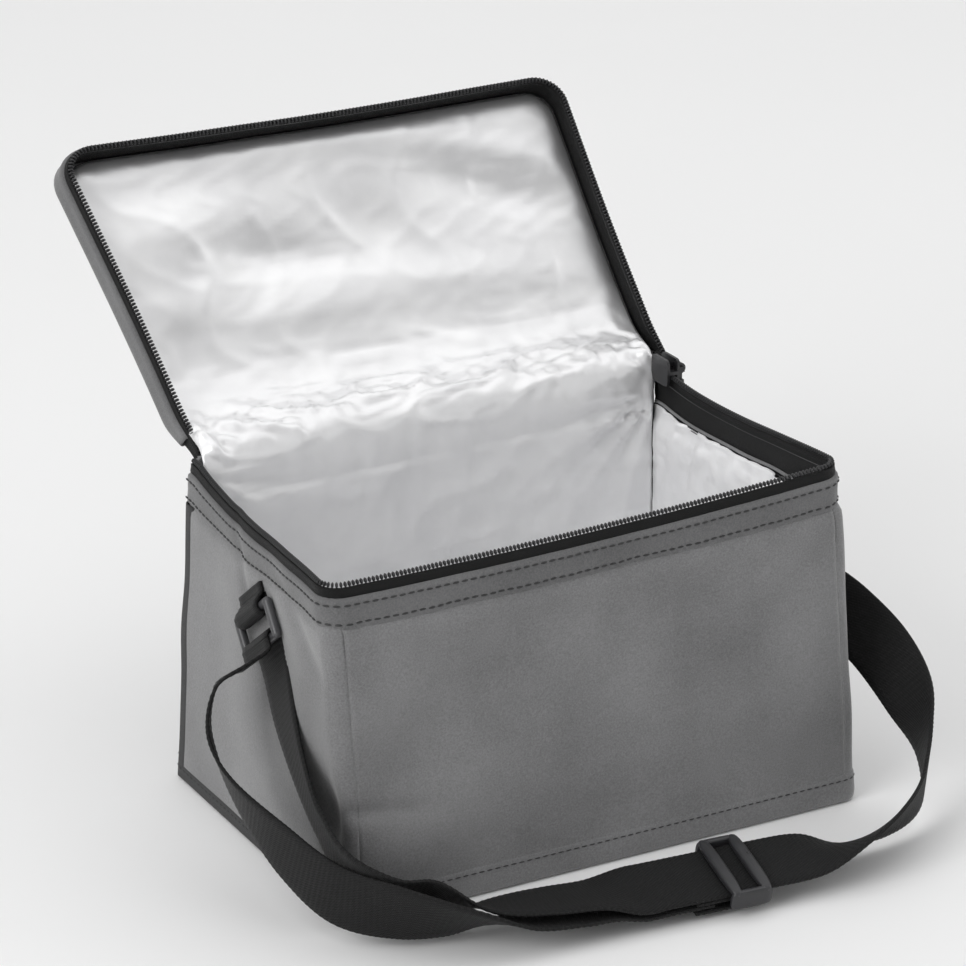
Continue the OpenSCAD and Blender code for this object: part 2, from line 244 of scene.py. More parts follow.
def add_bump(nodes, links, body, height, distance, strength=1.0, under=None):
    bump = nodes.new("ShaderNodeBump")
    bump.inputs["Strength"].default_value = strength
    bump.inputs["Distance"].default_value = distance * MM
    links.new(height, bump.inputs["Height"])
    if under is not None:
        links.new(under, bump.inputs["Normal"])
    links.new(bump.outputs["Normal"], body.inputs["Normal"])
    return bump.outputs["Normal"]


def grey(value):
    return (value, value, value * 1.015)


def weave_height(nodes, links, uv, pitch, lean=0.0):
    """Over-and-under threads from two crossed waves; pitch in mm on the flat cloth."""
    turn = 2 * math.pi / (pitch * MM)
    split = nodes.new("ShaderNodeSeparateXYZ")
    links.new(uv, split.inputs[0])
    u, v = split.outputs[0], split.outputs[1]
    if lean:
        u = add_math(nodes, links, "ADD", u, add_math(nodes, links, "MULTIPLY", v, lean))
    first = add_math(nodes, links, "SINE", add_math(nodes, links, "MULTIPLY", u, turn), 0.0)
    second = add_math(nodes, links, "SINE", add_math(nodes, links, "MULTIPLY", v, turn), 0.0)
    return add_math(nodes, links, "MULTIPLY", first, second)


def fabric_material(name, dark, light, sheen=0.5):
    """Brushed polyester: fine short fibres, a faint weave and soft cloudy shade."""
    material, nodes, links, body = shader(name, grey(light), 0.82)
    where = nodes.new("ShaderNodeTexCoord")
    grain = add_noise(nodes, links, where.outputs["Object"], 1500, detail=4, rough=0.7)
    fibres = add_noise(nodes, links, where.outputs["Object"], 900, detail=2, stretch=(1, 1, 0.35))
    cloud = add_noise(nodes, links, where.outputs["Object"], 22, detail=3)
    fine = add_ramp(nodes, links, grain, [(0.3, grey(dark)), (0.72, grey(light))])
    soft = add_ramp(nodes, links, cloud, [(0.32, grey(dark * 0.95)), (0.7, grey(light))])
    links.new(add_mix(nodes, links, 0.4, fine, soft), body.inputs["Base Color"])
    matt = add_ramp(nodes, links, fibres, [(0.2, (0.72,) * 3), (0.8, (0.92,) * 3)])
    links.new(matt, body.inputs["Roughness"])
    body.inputs["Sheen Weight"].default_value = sheen
    body.inputs["Sheen Roughness"].default_value = 0.45
    body.inputs["Specular IOR Level"].default_value = 0.25
    threads = weave_height(nodes, links, where.outputs["UV"], 0.7)
    weave = add_bump(nodes, links, body, threads, 0.05, 0.35)
    add_bump(nodes, links, body, grain, 0.2, 0.7, under=weave)
    return material


def webbing_material(name, dark, light, pitch=2.2):
    """Ribbed polypropylene webbing: dull sheen, crossed yarns with painted shade in their hollows, and a
    little lint.
    """
    material, nodes, links, body = shader(name, grey(dark), 0.5)
    where = nodes.new("ShaderNodeTexCoord")
    threads = weave_height(nodes, links, where.outputs["UV"], pitch / 2, lean=0.5)
    lint = add_noise(nodes, links, where.outputs["Object"], 1500, detail=4, rough=0.7)
    shade = add_math(nodes, links, "MULTIPLY", add_math(nodes, links, "ADD", threads, 1.0), 0.5)
    # the hollows of the weave are painted darker than its crowns: painted shade
    yarn_hollow_shade = add_ramp(nodes, links, shade, [(0.1, grey(dark * 0.75)), (0.9, grey(light))])
    dust = add_ramp(nodes, links, lint, [(0.35, grey(dark * 0.8)), (0.75, grey(light * 1.1))])
    links.new(add_mix(nodes, links, 0.4, yarn_hollow_shade, dust), body.inputs["Base Color"])
    matt = add_ramp(nodes, links, lint, [(0.2, (0.42,) * 3), (0.8, (0.66,) * 3)])
    links.new(matt, body.inputs["Roughness"])
    body.inputs["Sheen Weight"].default_value = 0.02
    body.inputs["Specular IOR Level"].default_value = 0.16
    weave = add_bump(nodes, links, body, threads, 0.16, 0.7)
    add_bump(nodes, links, body, lint, 0.06, 0.4, under=weave)
    return material


def foil_material():
    """Aluminised film over foam: matt and white inside the bag, a soft mirror on the lid."""
    material, nodes, links, body = shader("silver_foil", (0.95, 0.95, 0.955), 0.3, metallic=0.5)
    where = nodes.new("ShaderNodeTexCoord")
    split = nodes.new("ShaderNodeSeparateXYZ")
    links.new(where.outputs["Object"], split.inputs[0])
    rise = add_math(nodes, links, "SUBTRACT", split.outputs[2], FOIL_TURNS)
    above = add_math(nodes, links, "MULTIPLY", rise, 1 / FOIL_TURN_RUN)
    links.new(add_ramp(nodes, links, above, [(0.0, (0.3,) * 3), (1.0, (0.9,) * 3)]), body.inputs["Metallic"])
    cloud = add_noise(nodes, links, where.outputs["Object"], 45, detail=4)
    grain = add_noise(nodes, links, where.outputs["Object"], 1400, detail=3, rough=0.6)
    links.new(add_ramp(nodes, links, cloud, [(0.3, (0.86, 0.86, 0.87)), (0.7, (0.94, 0.94, 0.945))]),
              body.inputs["Base Color"])
    matt = add_ramp(nodes, links, grain, [(0.25, (0.32,) * 3), (0.8, (0.42,) * 3)])
    links.new(matt, body.inputs["Roughness"])
    linen = weave_height(nodes, links, where.outputs["UV"], 1.1)
    small = add_noise(nodes, links, where.outputs["Object"], 110, detail=2, rough=0.5)
    first = add_bump(nodes, links, body, linen, 0.015, 0.15)
    second = add_bump(nodes, links, body, small, 0.2, 0.15, under=first)
    add_bump(nodes, links, body, grain, 0.005, 0.15, under=second)
    return material


def plastic_material(name, colour, rough, edge_highlight=0.35):
    """Moulded plastic: slightly uneven gloss, fine spark-eroded grain, and sharp edges painted paler as a
    painted highlight.
    """
    material, nodes, links, body = shader(name, colour, rough)
    where = nodes.new("ShaderNodeTexCoord")
    grain = add_noise(nodes, links, where.outputs["Object"], 2200, detail=2)
    smear = add_noise(nodes, links, where.outputs["Object"], 160, detail=4)
    shape = nodes.new("ShaderNodeNewGeometry")
    # sharp convex edges are painted paler, up to this share: a painted highlight
    edge = add_ramp(nodes, links, shape.outputs["Pointiness"], [(0.5, (0.0,) * 3), (0.62, (edge_highlight,) * 3)])
    dull = add_ramp(nodes, links, smear, [(0.3, colour), (0.75, tuple(1.35 * c for c in colour))])
    highlit_edges = add_ramp(nodes, links, smear, [(0.0, tuple(2.2 * c for c in colour)),
                                            (1.0, tuple(2.8 * c for c in colour))])
    links.new(add_mix(nodes, links, edge, dull, highlit_edges), body.inputs["Base Color"])
    links.new(add_ramp(nodes, links, smear, [(0.25, (rough * 0.8,) * 3), (0.8, (min(1, rough * 1.35),) * 3)]),
              body.inputs["Roughness"])
    add_bump(nodes, links, body, grain, 0.03, 0.35)
    return material


def thread_material(name, value):
    material, nodes, links, body = shader(name, grey(value), 0.6)
    where = nodes.new("ShaderNodeTexCoord")
    twist = add_noise(nodes, links, where.outputs["Object"], 3000, detail=2)
    links.new(add_ramp(nodes, links, twist, [(0.3, grey(value * 0.7)), (0.75, grey(value * 1.3))]),
              body.inputs["Base Color"])
    add_bump(nodes, links, body, twist, 0.05, 0.5)
    return material


FOIL_TURNS = 0.128          # height in metres where the foil starts to turn from matt to a soft mirror
FOIL_TURN_RUN = 0.025       # and the height in metres that the change takes
OUTER = fabric_material("outer_fabric", 0.115, 0.275)
BAND = fabric_material("band_fabric", 0.09, 0.2, sheen=0.3)
BINDING = webbing_material("binding_tape", 0.045, 0.09, pitch=1.2)
TAPE = webbing_material("zip_tape", 0.007, 0.016, pitch=1.0)
WEBBING = webbing_material("webbing", 0.006, 0.02)
FOIL = foil_material()
COIL = plastic_material("zip_coil_nylon", (0.014, 0.014, 0.015), 0.34)
BUCKLE = plastic_material("buckle_plastic", (0.022, 0.022, 0.024), 0.33)
RING = plastic_material("ring_plastic", (0.05, 0.05, 0.053), 0.3)
METAL = plastic_material("zip_metal_black", (0.014, 0.014, 0.015), 0.3, edge_highlight=0.4)
DARK_THREAD = thread_material("dark_thread", 0.03)
GREY_THREAD = thread_material("grey_thread", 0.11)


# ---------------------------------------------------------------- camera, light and floor
def add_camera():
    data = bpy.data.cameras.new("camera")
    data.lens = 140.24
    data.sensor_width = 36
    data.clip_start, data.clip_end = 0.05, 60
    camera = bpy.data.objects.new("camera", data)
    bpy.context.scene.collection.objects.link(camera)
    turn, lift = math.radians(-28.53), math.radians(21.55)
    back = Vector((math.sin(turn) * math.cos(lift), -math.cos(turn) * math.cos(lift), math.sin(lift)))
    target = Vector((-0.01305, 0, 0.12548))
    camera.location = target + back * 1.3644
    camera.rotation_mode = "QUATERNION"
    camera.rotation_quaternion = (-back).to_track_quat("-Z", "Y")
    bpy.context.scene.camera = camera


def add_area(name, place, aim, size, power, tint=(1, 1, 1)):
    data = bpy.data.lights.new(name, "AREA")
    data.shape = "RECTANGLE"
    data.size, data.size_y = size
    data.energy = power
    data.color = tint
    light = bpy.data.objects.new(name, data)
    light.location = place
    light.rotation_mode = "QUATERNION"
    light.rotation_quaternion = (Vector(aim) - Vector(place)).to_track_quat("-Z", "Y")
    bpy.context.scene.collection.objects.link(light)


def add_floor():
    """A wide pale dish: flat under the bag and curving up far away."""
    radii = [0, 0.3, 0.8, 1.5, 2.5, 4.0, 5.0, 6.0, 6.8, 7.3, 7.5]
    count = 64
    points = [(0, 0, -0.05)]
    for r in radii[1:]:
        rise = 3.5 * max(0.0, (r - 4.0) / 3.5) ** 2
        for k in range(count):
            turn = 2 * math.pi * k / count
            points.append((1000 * r * math.cos(turn), 1000 * r * math.sin(turn), -0.05 + 1000 * rise))
    faces = [(0, 1 + k, 1 + (k + 1) % count) for k in range(count)]
    for ring in range(len(radii) - 2):
        a, b = 1 + ring * count, 1 + (ring + 1) * count
        faces += [(a + k, b + k, b + (k + 1) % count, a + (k + 1) % count) for k in range(count)]
    material, nodes, links, body = shader("floor_paper", (0.9, 0.9, 0.9), 0.9)
    where = nodes.new("ShaderNodeTexCoord")
    mottle = add_noise(nodes, links, where.outputs["Object"], 3, detail=2)
    shade = add_ramp(nodes, links, mottle, [(0.3, (0.895,) * 3), (0.7, (0.905,) * 3)])
    links.new(shade, body.inputs["Base Color"])
    make_piece("floor", points, faces, material)


def add_world():
    world = bpy.data.worlds.new("studio")
    bpy.context.scene.world = world
    world.use_nodes = True
    nodes, links = world.node_tree.nodes, world.node_tree.links
    nodes["Background"].inputs["Strength"].default_value = 1.0
    where = nodes.new("ShaderNodeTexCoord")
    split = nodes.new("ShaderNodeSeparateXYZ")
    links.new(where.outputs["Generated"], split.inputs[0])
    ahead = add_math(nodes, links, "MULTIPLY", split.outputs[1], 0.4)
    height = add_math(nodes, links, "ADD", split.outputs[2], ahead)
    sky = add_ramp(nodes, links, height, [(0.3, (0.36,) * 3), (0.85, (0.86,) * 3)])
    links.new(sky, nodes["Background"].inputs["Color"])


add_camera()
add_world()
add_floor()
add_area("key_light", (-2.3, -0.7, 1.5), (0, 0, 0.1), (1.5, 1.5), 30)
add_area("top_light", (0.3, 0.8, 2.8), (0, 0, 0.1), (3.6, 3.0), 11)
add_area("side_light", (2.2, -0.6, 1.2), (0, 0, 0.1), (1.2, 1.6), 6)
bpy.context.scene.view_settings.view_transform = "Standard"


# ---------------------------------------------------------------- strap
WEB_W, WEB_T = 25.0, 1.4
RIB_PITCH, RIB_HEIGHT = 2.2, 0.16
MAIN_ROUTE = [
    [110.2, -10.8, 85.6, 0, -0.8, 0.6],
    [110.2, -16.8, 77.6, 0, -0.8, 0.6],
    [113.5, -28, 70.5, 0.3, -0.65, 0.62],
    [119.5, -43, 62.5, 0.5, -0.45, 0.65],
    [125, -58, 52.5, 0.5, -0.42, 0.65],
    [126.5, -74, 41, 0.3, -0.5, 0.7],
    [123.5, -90, 29, -0.2, -0.6, 0.7],
    [111.5, -106, 19.5, -0.35, -0.5, 0.75],
    [93, -116, 15, -0.25, -0.65, 0.7],
    [74, -119, 12, -0.1, -0.85, 0.45],
    [55, -118, 11.5, -0.08, -0.97, -0.16],
    [35, -116.33, 11.5, -0.08, -0.97, -0.24],
    [15, -114.67, 11.5, -0.08, -0.97, -0.24],
    [-5, -113, 11.5, -0.08, -0.97, -0.24],
    [-15, -112.17, 11.5, -0.08, -0.97, -0.24],
    [-29, -110, 12.5, -0.03, -0.99, 0.06],
    [-46, -106, 12.5, 0, -0.99, 0.12],
    [-66, -100, 12.5, 0, -0.95, 0.3],
    [-84, -92, 16, 0, -0.55, 0.8],
    [-97.5, -88, 20, -0.1, -0.6, 0.75],
    [-109.5, -77.5, 29, -0.2, -0.65, 0.7],
    [-110.5, -60, 38, -0.25, -0.75, 0.55],
    [-109.5, -44, 50, -0.2, -0.83, 0.48],
    [-107.5, -29, 64, -0.1, -0.82, 0.5],
    [-104.8, -16.8, 77.6, 0, -0.8, 0.6],
    [-104.8, -10.8, 85.6, 0, -0.8, 0.6],
]
RETURN_ROUTE = [
    [-110.2, -10.8, 85.6, 0, -0.8, 0.6],
    [-111, -13.4, 82, 0, -0.8, 0.6],
    [-118, -14.5, 80, -0.1, -0.8, 0.5],
    [-128, -15, 75, -0.35, -0.8, 0.4],
    [-133, -20, 60, -0.4, -0.8, 0.4],
    [-130, -33, 43, -0.3, -0.55, 0.65],
    [-122, -56, 28, -0.1, -0.2, 0.9],
    [-113.5, -78, 19.5, 0, -0.15, 0.95],
    [-98.5, -95.5, 16.5, 0, -0.35, 0.9],
    [-79, -105, 12.5, 0, -0.7, 0.7],
    [-58, -108, 8.5, 0, -0.95, 0.25],
    [-39, -110, 7.8, 0, -0.99, 0.1],
    [-25, -110.6, 8, -0.05, -0.99, 0],
    [-14, -111.45, 8.3, -0.08, -0.97, -0.24],
    [-5, -112.2, 8.3, -0.08, -0.97, -0.24],
    [12, -113.6, 8.3, -0.08, -0.97, -0.24],
]


def web_profile(half_w, half_t, count=8):
    """Outline of webbing, counter-clockwise: flat faces and rounded edges, as (across, out) pairs."""
    across = np.linspace(-1, 1, count)
    top = [(half_w * (0.985 * a), half_t) for a in across]
    return top[::-1] + [(-half_w, 0.0)] + [(half_w * 0.985 * a, -half_t) for a in across] + [(half_w, 0.0)]


def webbing(name, centre, edges, width, thick, material, rib=RIB_HEIGHT, pitch=RIB_PITCH):
    """Ribbed webbing along a line: every point of the line gives one ring of the outline."""
    along, wide, out = line_frames(centre, edges)
    run = np.concatenate([[0], np.cumsum(np.linalg.norm(np.diff(centre, axis=0), axis=1))])
    outline = np.array(web_profile(width / 2, thick / 2))
    ribs = rib * (0.5 + 0.5 * np.cos(2 * math.pi * run / pitch)) - rib
    rings, uv = [], []
    for i in range(len(centre)):
        thin = 1 + ribs[i] / (thick / 2)
        rings.append(centre[i] + outline[:, :1] * wide[i] + outline[:, 1:] * thin * out[i])
        uv.append(np.stack([outline[:, 0], np.full(len(outline), run[i])], axis=1))
    count = len(outline)
    faces = grid_faces(len(centre), count, closed=True)
    last = (len(centre) - 1) * count
    faces += [tuple(range(count))[::-1], tuple(last + k for k in range(count))]
    return make_piece(name, np.concatenate(rings), faces, material, np.concatenate(uv))


def strap_strand(name, route, **facts):
    rows = even_steps(catmull_rom(route, 16), 0.55)
    piece = webbing(name + "_webbing", rows[:, :3], rows[:, 3:], WEB_W, WEB_T, WEBBING)
    settle(piece, "strap", "webbing", name)
    return piece


# ---------------------------------------------------------------- soft shape of the body
TAPER_X, TAPER_Y = BASE_X - RIM_X, BASE_Y - RIM_Y
FRONT_R, BACK_R = 5.5, 3.5
SIDE_COUNT, LONG_COUNT, ARC_COUNT = 64, 100, 9

# How far each corner of the base and of the rim has moved from the plain tapered box
BASE_PULL = {(1, -1): (2.6, -0.4, 0.0), (-1, 1): (-1.2, 0.0, 0.0)}
RIM_PULL = {(-1, -1): (-9.2, 2.2, -3.2), (1, -1): (1.4, 2.6, 3.8),
            (1, 1): (0.2, 1.0, 1.2), (-1, 1): (-0.4, -1.6, -1.4)}

# Soft hollows (negative) and swells: centre, direction of the long axis, half length, half width, depth
BODY_DENTS = [
    ((-55, -68, 66), (1, 0, 0.45), 55, 17, -2.6),
    ((20, -68, 88), (1, 0, 0.25), 60, 14, -1.3),
    ((-78, -68, 22), (1, 0, 0.5), 26, 11, 1.8),
    ((40, -68, 40), (1, 0, 0.2), 60, 26, 1.2),
    ((-96, -68, 42), (1, 0, -0.12), 22, 3.2, -1.9),
    ((-103, -60, 38), (0, 0.3, 1), 16, 9, -4.2),
    ((-101, -38, 108), (0, 0.75, 0.5), 24, 5, -2.4),
    ((-101, 12, 112), (0, 0.35, 1), 26, 3.6, -1.7),
    ((-103, -40, 70), (0, -0.2, 1), 28, 10, 1.4),
    ((-103, 30, 60), (0, 0.1, 1), 40, 16, -1.6),
    ((-103, -12, 84), (0, -0.3, 1), 30, 15, -3.4),
    ((103, 0, 70), (0, 0, 1), 40, 40, -1.5),
    ((0, 68, 70), (1, 0, 0), 60, 35, -1.5),
]


def half_x(z):
    return BASE_X - TAPER_X * z / HINGE_Z


def half_y(z):
    return BASE_Y - TAPER_Y * z / HINGE_Z


def outward(points):
    """Horizontal direction out of the nearest wall."""
    x = points[:, 0] / half_x(points[:, 2])
    y = points[:, 1] / half_y(points[:, 2])
    way = np.stack([np.sign(x) * np.abs(x) ** 9, np.sign(y) * np.abs(y) ** 9, np.zeros(len(x))], axis=1)
    size = np.linalg.norm(way, axis=1)[:, None]
    return way / np.maximum(size, 0.25)


def dents(points, table, strength=1.0):
    total = np.zeros(len(points))
    for centre, way, long, wide, depth in table:
        way = np.array(way, float) / np.linalg.norm(way)
        gap = points - np.array(centre, float)
        run = gap @ way
        off = np.linalg.norm(gap - run[:, None] * way, axis=1)
        total += strength * depth * np.exp(-(run / long) ** 2 - (off / wide) ** 2)
    return total


def sag_of_rim(points):
    """Drop of the side rims between the hinge and the front corners, and a little of the front rim."""
    t = np.clip((0.88 * RIM_Y - points[:, 1]) / (1.88 * RIM_Y), 0, 1)
    share = np.clip(np.abs(points[:, 0]) / RIM_X, 0, 1) ** 8
    side = 6.75 * t * (1 - t) ** 2 * np.where(points[:, 0] > 0, 3.6, 3.0) * share
    front = 2.6 * np.clip(-points[:, 1] / RIM_Y, 0, 1) ** 6 * (1 - np.clip(points[:, 0] / RIM_X, -1, 1) ** 2)
    return side + front


def soft(points, detail=1.0):
    """Where a point of the plain tapered box lies on the real, slightly slumped bag."""
    shape = points.shape
    points = points.reshape(-1, 3)
    u = np.clip(points[:, 0] / RIM_X, -1.1, 1.1)
    v = np.clip(points[:, 1] / RIM_Y, -1.1, 1.1)
    height = np.clip(points[:, 2] / HINGE_Z, 0, 1.2)
    moved = points.copy()
    for (side_x, side_y), pull in RIM_PULL.items():
        share = (1 + side_x * u) * (1 + side_y * v) / 4 * height ** 1.35
        moved += share[:, None] * np.array(pull)
    for (side_x, side_y), pull in BASE_PULL.items():
        share = (1 + side_x * u) * (1 + side_y * v) / 4 * (1 - np.clip(height, 0, 1))
        moved += share[:, None] * np.array(pull)
    moved[:, 2] -= sag_of_rim(points) * height ** 3
    swell = dents(points, BODY_DENTS) * np.clip(1.25 - height, 0, 1) ** 0.5
    pucker = np.exp(-np.abs(WALL_Z - points[:, 2]) / 7) * waves(points * (1, 1, 0.12), 17, 5)
    ripple = waves(points, 46, 3) * 0.45 * np.sin(math.pi * np.clip(points[:, 2] / WALL_Z, 0, 1))
    low_share = np.clip(points[:, 2] / 8, 0, 1)
    moved += ((swell + detail * 0.6 * pucker + detail * ripple) * low_share)[:, None] * outward(points)
    return moved.reshape(shape)


def wall_loop(z, inset, front_r=FRONT_R, back_r=BACK_R):
    """Closed outline of the walls at height z: left side, front, right side, back."""
    w, d = half_x(z) - inset, half_y(z) - inset
    rf, rb = max(front_r - inset, 1.5), max(back_r - inset, 1.0)

    def side(a, b, count):
        t = np.linspace(0, 1, count, endpoint=False)[:, None]
        return np.array(a) * (1 - t) + np.array(b) * t

    def arc(x, y, r, start):
        turn = np.radians(start + np.linspace(0, 90, ARC_COUNT, endpoint=False))
        return np.stack([x + r * np.cos(turn), y + r * np.sin(turn)], axis=1)

    parts = [
        side((-w, d - rb), (-w, -d + rf), SIDE_COUNT), arc(-w + rf, -d + rf, rf, 180),
        side((-w + rf, -d), (w - rf, -d), LONG_COUNT), arc(w - rf, -d + rf, rf, 270),
        side((w, -d + rf), (w, d - rb), SIDE_COUNT), arc(w - rb, d - rb, rb, 0),
        side((w - rb, d), (-w + rb, d), LONG_COUNT), arc(-w + rb, d - rb, rb, 90),
    ]
    flat = np.concatenate(parts)
    return np.column_stack([flat, np.full(len(flat), z)])


LOOP = 2 * (SIDE_COUNT + LONG_COUNT) + 4 * ARC_COUNT
AT_FRONT_LEFT = SIDE_COUNT + ARC_COUNT
AT_FRONT_RIGHT = AT_FRONT_LEFT + LONG_COUNT
AT_BACK_RIGHT = AT_FRONT_RIGHT + ARC_COUNT + SIDE_COUNT
AT_BACK_LEFT = LOOP - ARC_COUNT
MID_ARC = ARC_COUNT // 2
PANELS = {
    "left": (AT_BACK_LEFT + MID_ARC - LOOP, AT_FRONT_LEFT),
    "front": (AT_FRONT_LEFT, AT_FRONT_RIGHT),
    "right": (AT_FRONT_RIGHT, AT_BACK_RIGHT + MID_ARC),
    "back": (AT_BACK_RIGHT + MID_ARC, AT_BACK_LEFT + MID_ARC),
}


def wall_grid(side, heights, insets, **radii):
    """Rows of the outline between the two seams of one panel."""
    first, last = PANELS[side]
    columns = np.arange(first, last + 1) % LOOP
    return np.array([wall_loop(z, inset, **radii)[columns] for z, inset in zip(heights, insets)])


def tuck_seams(grid, depth, width=2.4):
    """Pulls the two upright edges of a panel inwards, as a sewn seam does."""
    for edge in (0, -1):
        run = np.linalg.norm(grid - grid[:, edge:edge + 1 or None][:, :1], axis=2)
        pull = depth * np.exp(-(run / width) ** 2)
        flat = grid.reshape(-1, 3)
        grid = (flat - outward(flat) * pull.reshape(-1, 1)).reshape(grid.shape)
    return grid


HEM_R = 3.0                 # radius on which the side panels turn under the bag


def body_fabric(side):
    base = FOLD_Z - 3 if side in ("front", "back") else 0.4
    top = WALL_Z + 1.5
    heights = np.concatenate([[base, base + 0.4, base + 1.2, base + 2.4], np.linspace(base + 4, top, 54)])
    insets = np.zeros(len(heights))
    if side in ("left", "right"):
        below = np.clip(HEM_R - heights, 0, HEM_R)
        insets = HEM_R - np.sqrt(np.maximum(HEM_R ** 2 - below ** 2, 0))
    insets = insets + 2.2 * np.exp(-((heights - top) / 2.4) ** 2)
    if side == "front":
        insets = insets - 0.5 * np.exp(-((heights - top + 8) / 3.5) ** 2)
    grid = tuck_seams(soft(wall_grid(side, heights, insets)), 0.1)
    return cloth_grid(side + "_fabric", grid, OUTER, 1.0, flip=True)


# ---------------------------------------------------------------- rim of the body
def rim_line(inset, step, corner=8.5, end_y=TAPE_END_Y):
    """Open line round the three zipped sides, left hinge end first, with the way out of the bag."""
    w, d = RIM_X - inset, RIM_Y - inset
    r = corner - inset
    turn = np.linspace(0, math.pi / 2, 13)
    left = [(-w, end_y), (-w, -d + r)]
    arc_left = [(-w + r - r * math.cos(t), -d + r - r * math.sin(t)) for t in turn[1:]]
    arc_right = [(w - r + r * math.sin(t), -d + r - r * math.cos(t)) for t in turn]
    line = even_steps(np.array(left + arc_left + arc_right + [(w, end_y)]), step)
    along = np.gradient(line, axis=0)
    along /= np.linalg.norm(along, axis=1)[:, None]
    return line, np.stack([along[:, 1], -along[:, 0]], axis=1)


def rim_strip_grid(inset, rows, step, **ends):
    """Rows of (height, out): a strip that follows the rim."""
    line, out = rim_line(inset, step, **ends)
    return np.array([np.column_stack([line + out * push, np.full(len(line), z)]) for z, push in rows])


def opened(points):
    """From the closed position of the lid to the open one."""
    shape = points.shape
    flat = points.reshape(-1, 3)
    y, z = flat[:, 1] - HINGE_Y, flat[:, 2] - HINGE_Z
    c, s = math.cos(-LID_OPEN), math.sin(-LID_OPEN)
    turned = np.column_stack([flat[:, 0], HINGE_Y + y * c - z * s, HINGE_Z + y * s + z * c])
    return turned.reshape(shape)


# How far each corner of the lid has moved from the plain lid, as it is drawn closed
LID_PULL = {(-1, -1): (-10.4, 0.8, 0.6), (1, -1): (7.0, -0.4, -1.0),
            (1, 1): (8.0, -0.4, -0.4), (-1, 1): (5.2, 0.6, 0.2)}
LID_DEPTH = 0.86            # the real lid is this much shallower than the plain one
HINGE_DEPTH = 0.5           # and its depth falls to this share at the hinge
TAPER_RUN = 22.0


def soft_lid(points):
    shape = points.shape
    points = points.reshape(-1, 3)
    u, v = points[:, 0] / RIM_X, points[:, 1] / RIM_Y
    moved = points.copy()
    for (side_x, side_y), pull in LID_PULL.items():
        moved += ((1 + side_x * u) * (1 + side_y * v) / 4)[:, None] * np.array(pull)
    bow = 1.6 * (1 - np.clip(v, -1, 1) ** 2) * np.clip(np.abs(u), 0, 1) ** 6
    moved[:, 0] -= np.sign(u) * bow * 0.6
    moved[:, 1] += 1.8 * (1 - np.clip(u, -1, 1) ** 2) * np.clip(-v, 0, 1) ** 4
    moved[:, 2] += (LID_DEPTH - 1) * (points[:, 2] - LID_TAPE) + 0.35 * waves(points, 70, 21)
    taper = HINGE_DEPTH + (1 - HINGE_DEPTH) * smoothstep((HINGE_Y - points[:, 1]) / TAPER_RUN)
    moved[:, 2] -= (1 - taper) * (points[:, 2] - HINGE_Z)
    return moved.reshape(shape)


def lid_strip_grid(inset, rows, step, end_y=TAPE_END_Y):
    return opened(soft_lid(rim_strip_grid(inset, rows, step, corner=LID_R, end_y=end_y)))


LID_R = 13.0
BAND_STOP = 9.0             # the lid's band ends this far from the hinge
STRIP_STEP = 2.0            # spacing of the columns of the strips around the rim and the lid
TAPE_INSET = 1.2            # the zip tapes lie this far inside the bands
TOOTH = (0.52, 1.2, 1.05)   # half sizes of a zip tooth and of the stitches: along, up, across
RIM_STITCH = (1.3, 0.42, 0.34)
BASE_STITCH = (1.15, 0.3, 0.24)
TAB_STITCH = (1.0, 0.22, 0.26)
# Rows of the rim's band, bottom to top: height, then how far the cloth stands out
BAND_ROWS = [(WALL_Z - 0.8, -0.7), (WALL_Z - 0.5, 0.2), (WALL_Z + 0.6, 0.75), (WALL_Z + 2.5, 0.7),
             (WALL_Z + 5, 0.55), (WALL_Z + 8, 0.55), (BAND_Z - 1.5, 0.6), (BAND_Z - 0.4, 0.45),
             (BAND_Z, -0.2), (BAND_Z - 0.6, -0.8)]
TAPE_STEPS = np.linspace(0, 1, 12)


def tape_rows(bottom, top):
    """Woven edge ridges near both sides of the tape."""
    ridge = 0.35 * (np.exp(-((TAPE_STEPS - 0.18) / 0.07) ** 2) + np.exp(-((TAPE_STEPS - 0.8) / 0.07) ** 2))
    return [(bottom + (top - bottom) * t, r) for t, r in zip(TAPE_STEPS, ridge)]


def lumps(name, places, along, up, size, material, rings=5, sides=6):
    """One mesh of small rounded beads, for stitches or zip teeth; size is half (along, up, across)."""
    polar = np.linspace(0, math.pi, rings + 2)
    turn = np.linspace(0, 2 * math.pi, sides, endpoint=False)
    unit = np.array([(math.cos(a), math.sin(a) * math.cos(b), math.sin(a) * math.sin(b))
                     for a in polar for b in turn])
    across = np.cross(along, up)
    frames = np.stack([along * size[0], up * size[1], across * size[2]], axis=1)
    points = (places[:, None, :] + unit @ frames).reshape(-1, 3)
    one = grid_faces(rings + 2, sides, closed=True)
    count = len(unit)
    faces = [tuple(i * count + k for k in f) for i in range(len(places)) for f in one]
    piece = make_piece(name, points, faces, material)
    weld = piece.modifiers.new("poles", "WELD")
    weld.merge_threshold = 0.004 * MM
    return piece


def bead_frames(line, up):
    along = np.gradient(line, axis=0)
    along /= np.linalg.norm(along, axis=1)[:, None]
    up = up - np.sum(up * along, axis=1)[:, None] * along
    return along, up / np.linalg.norm(up, axis=1)[:, None]


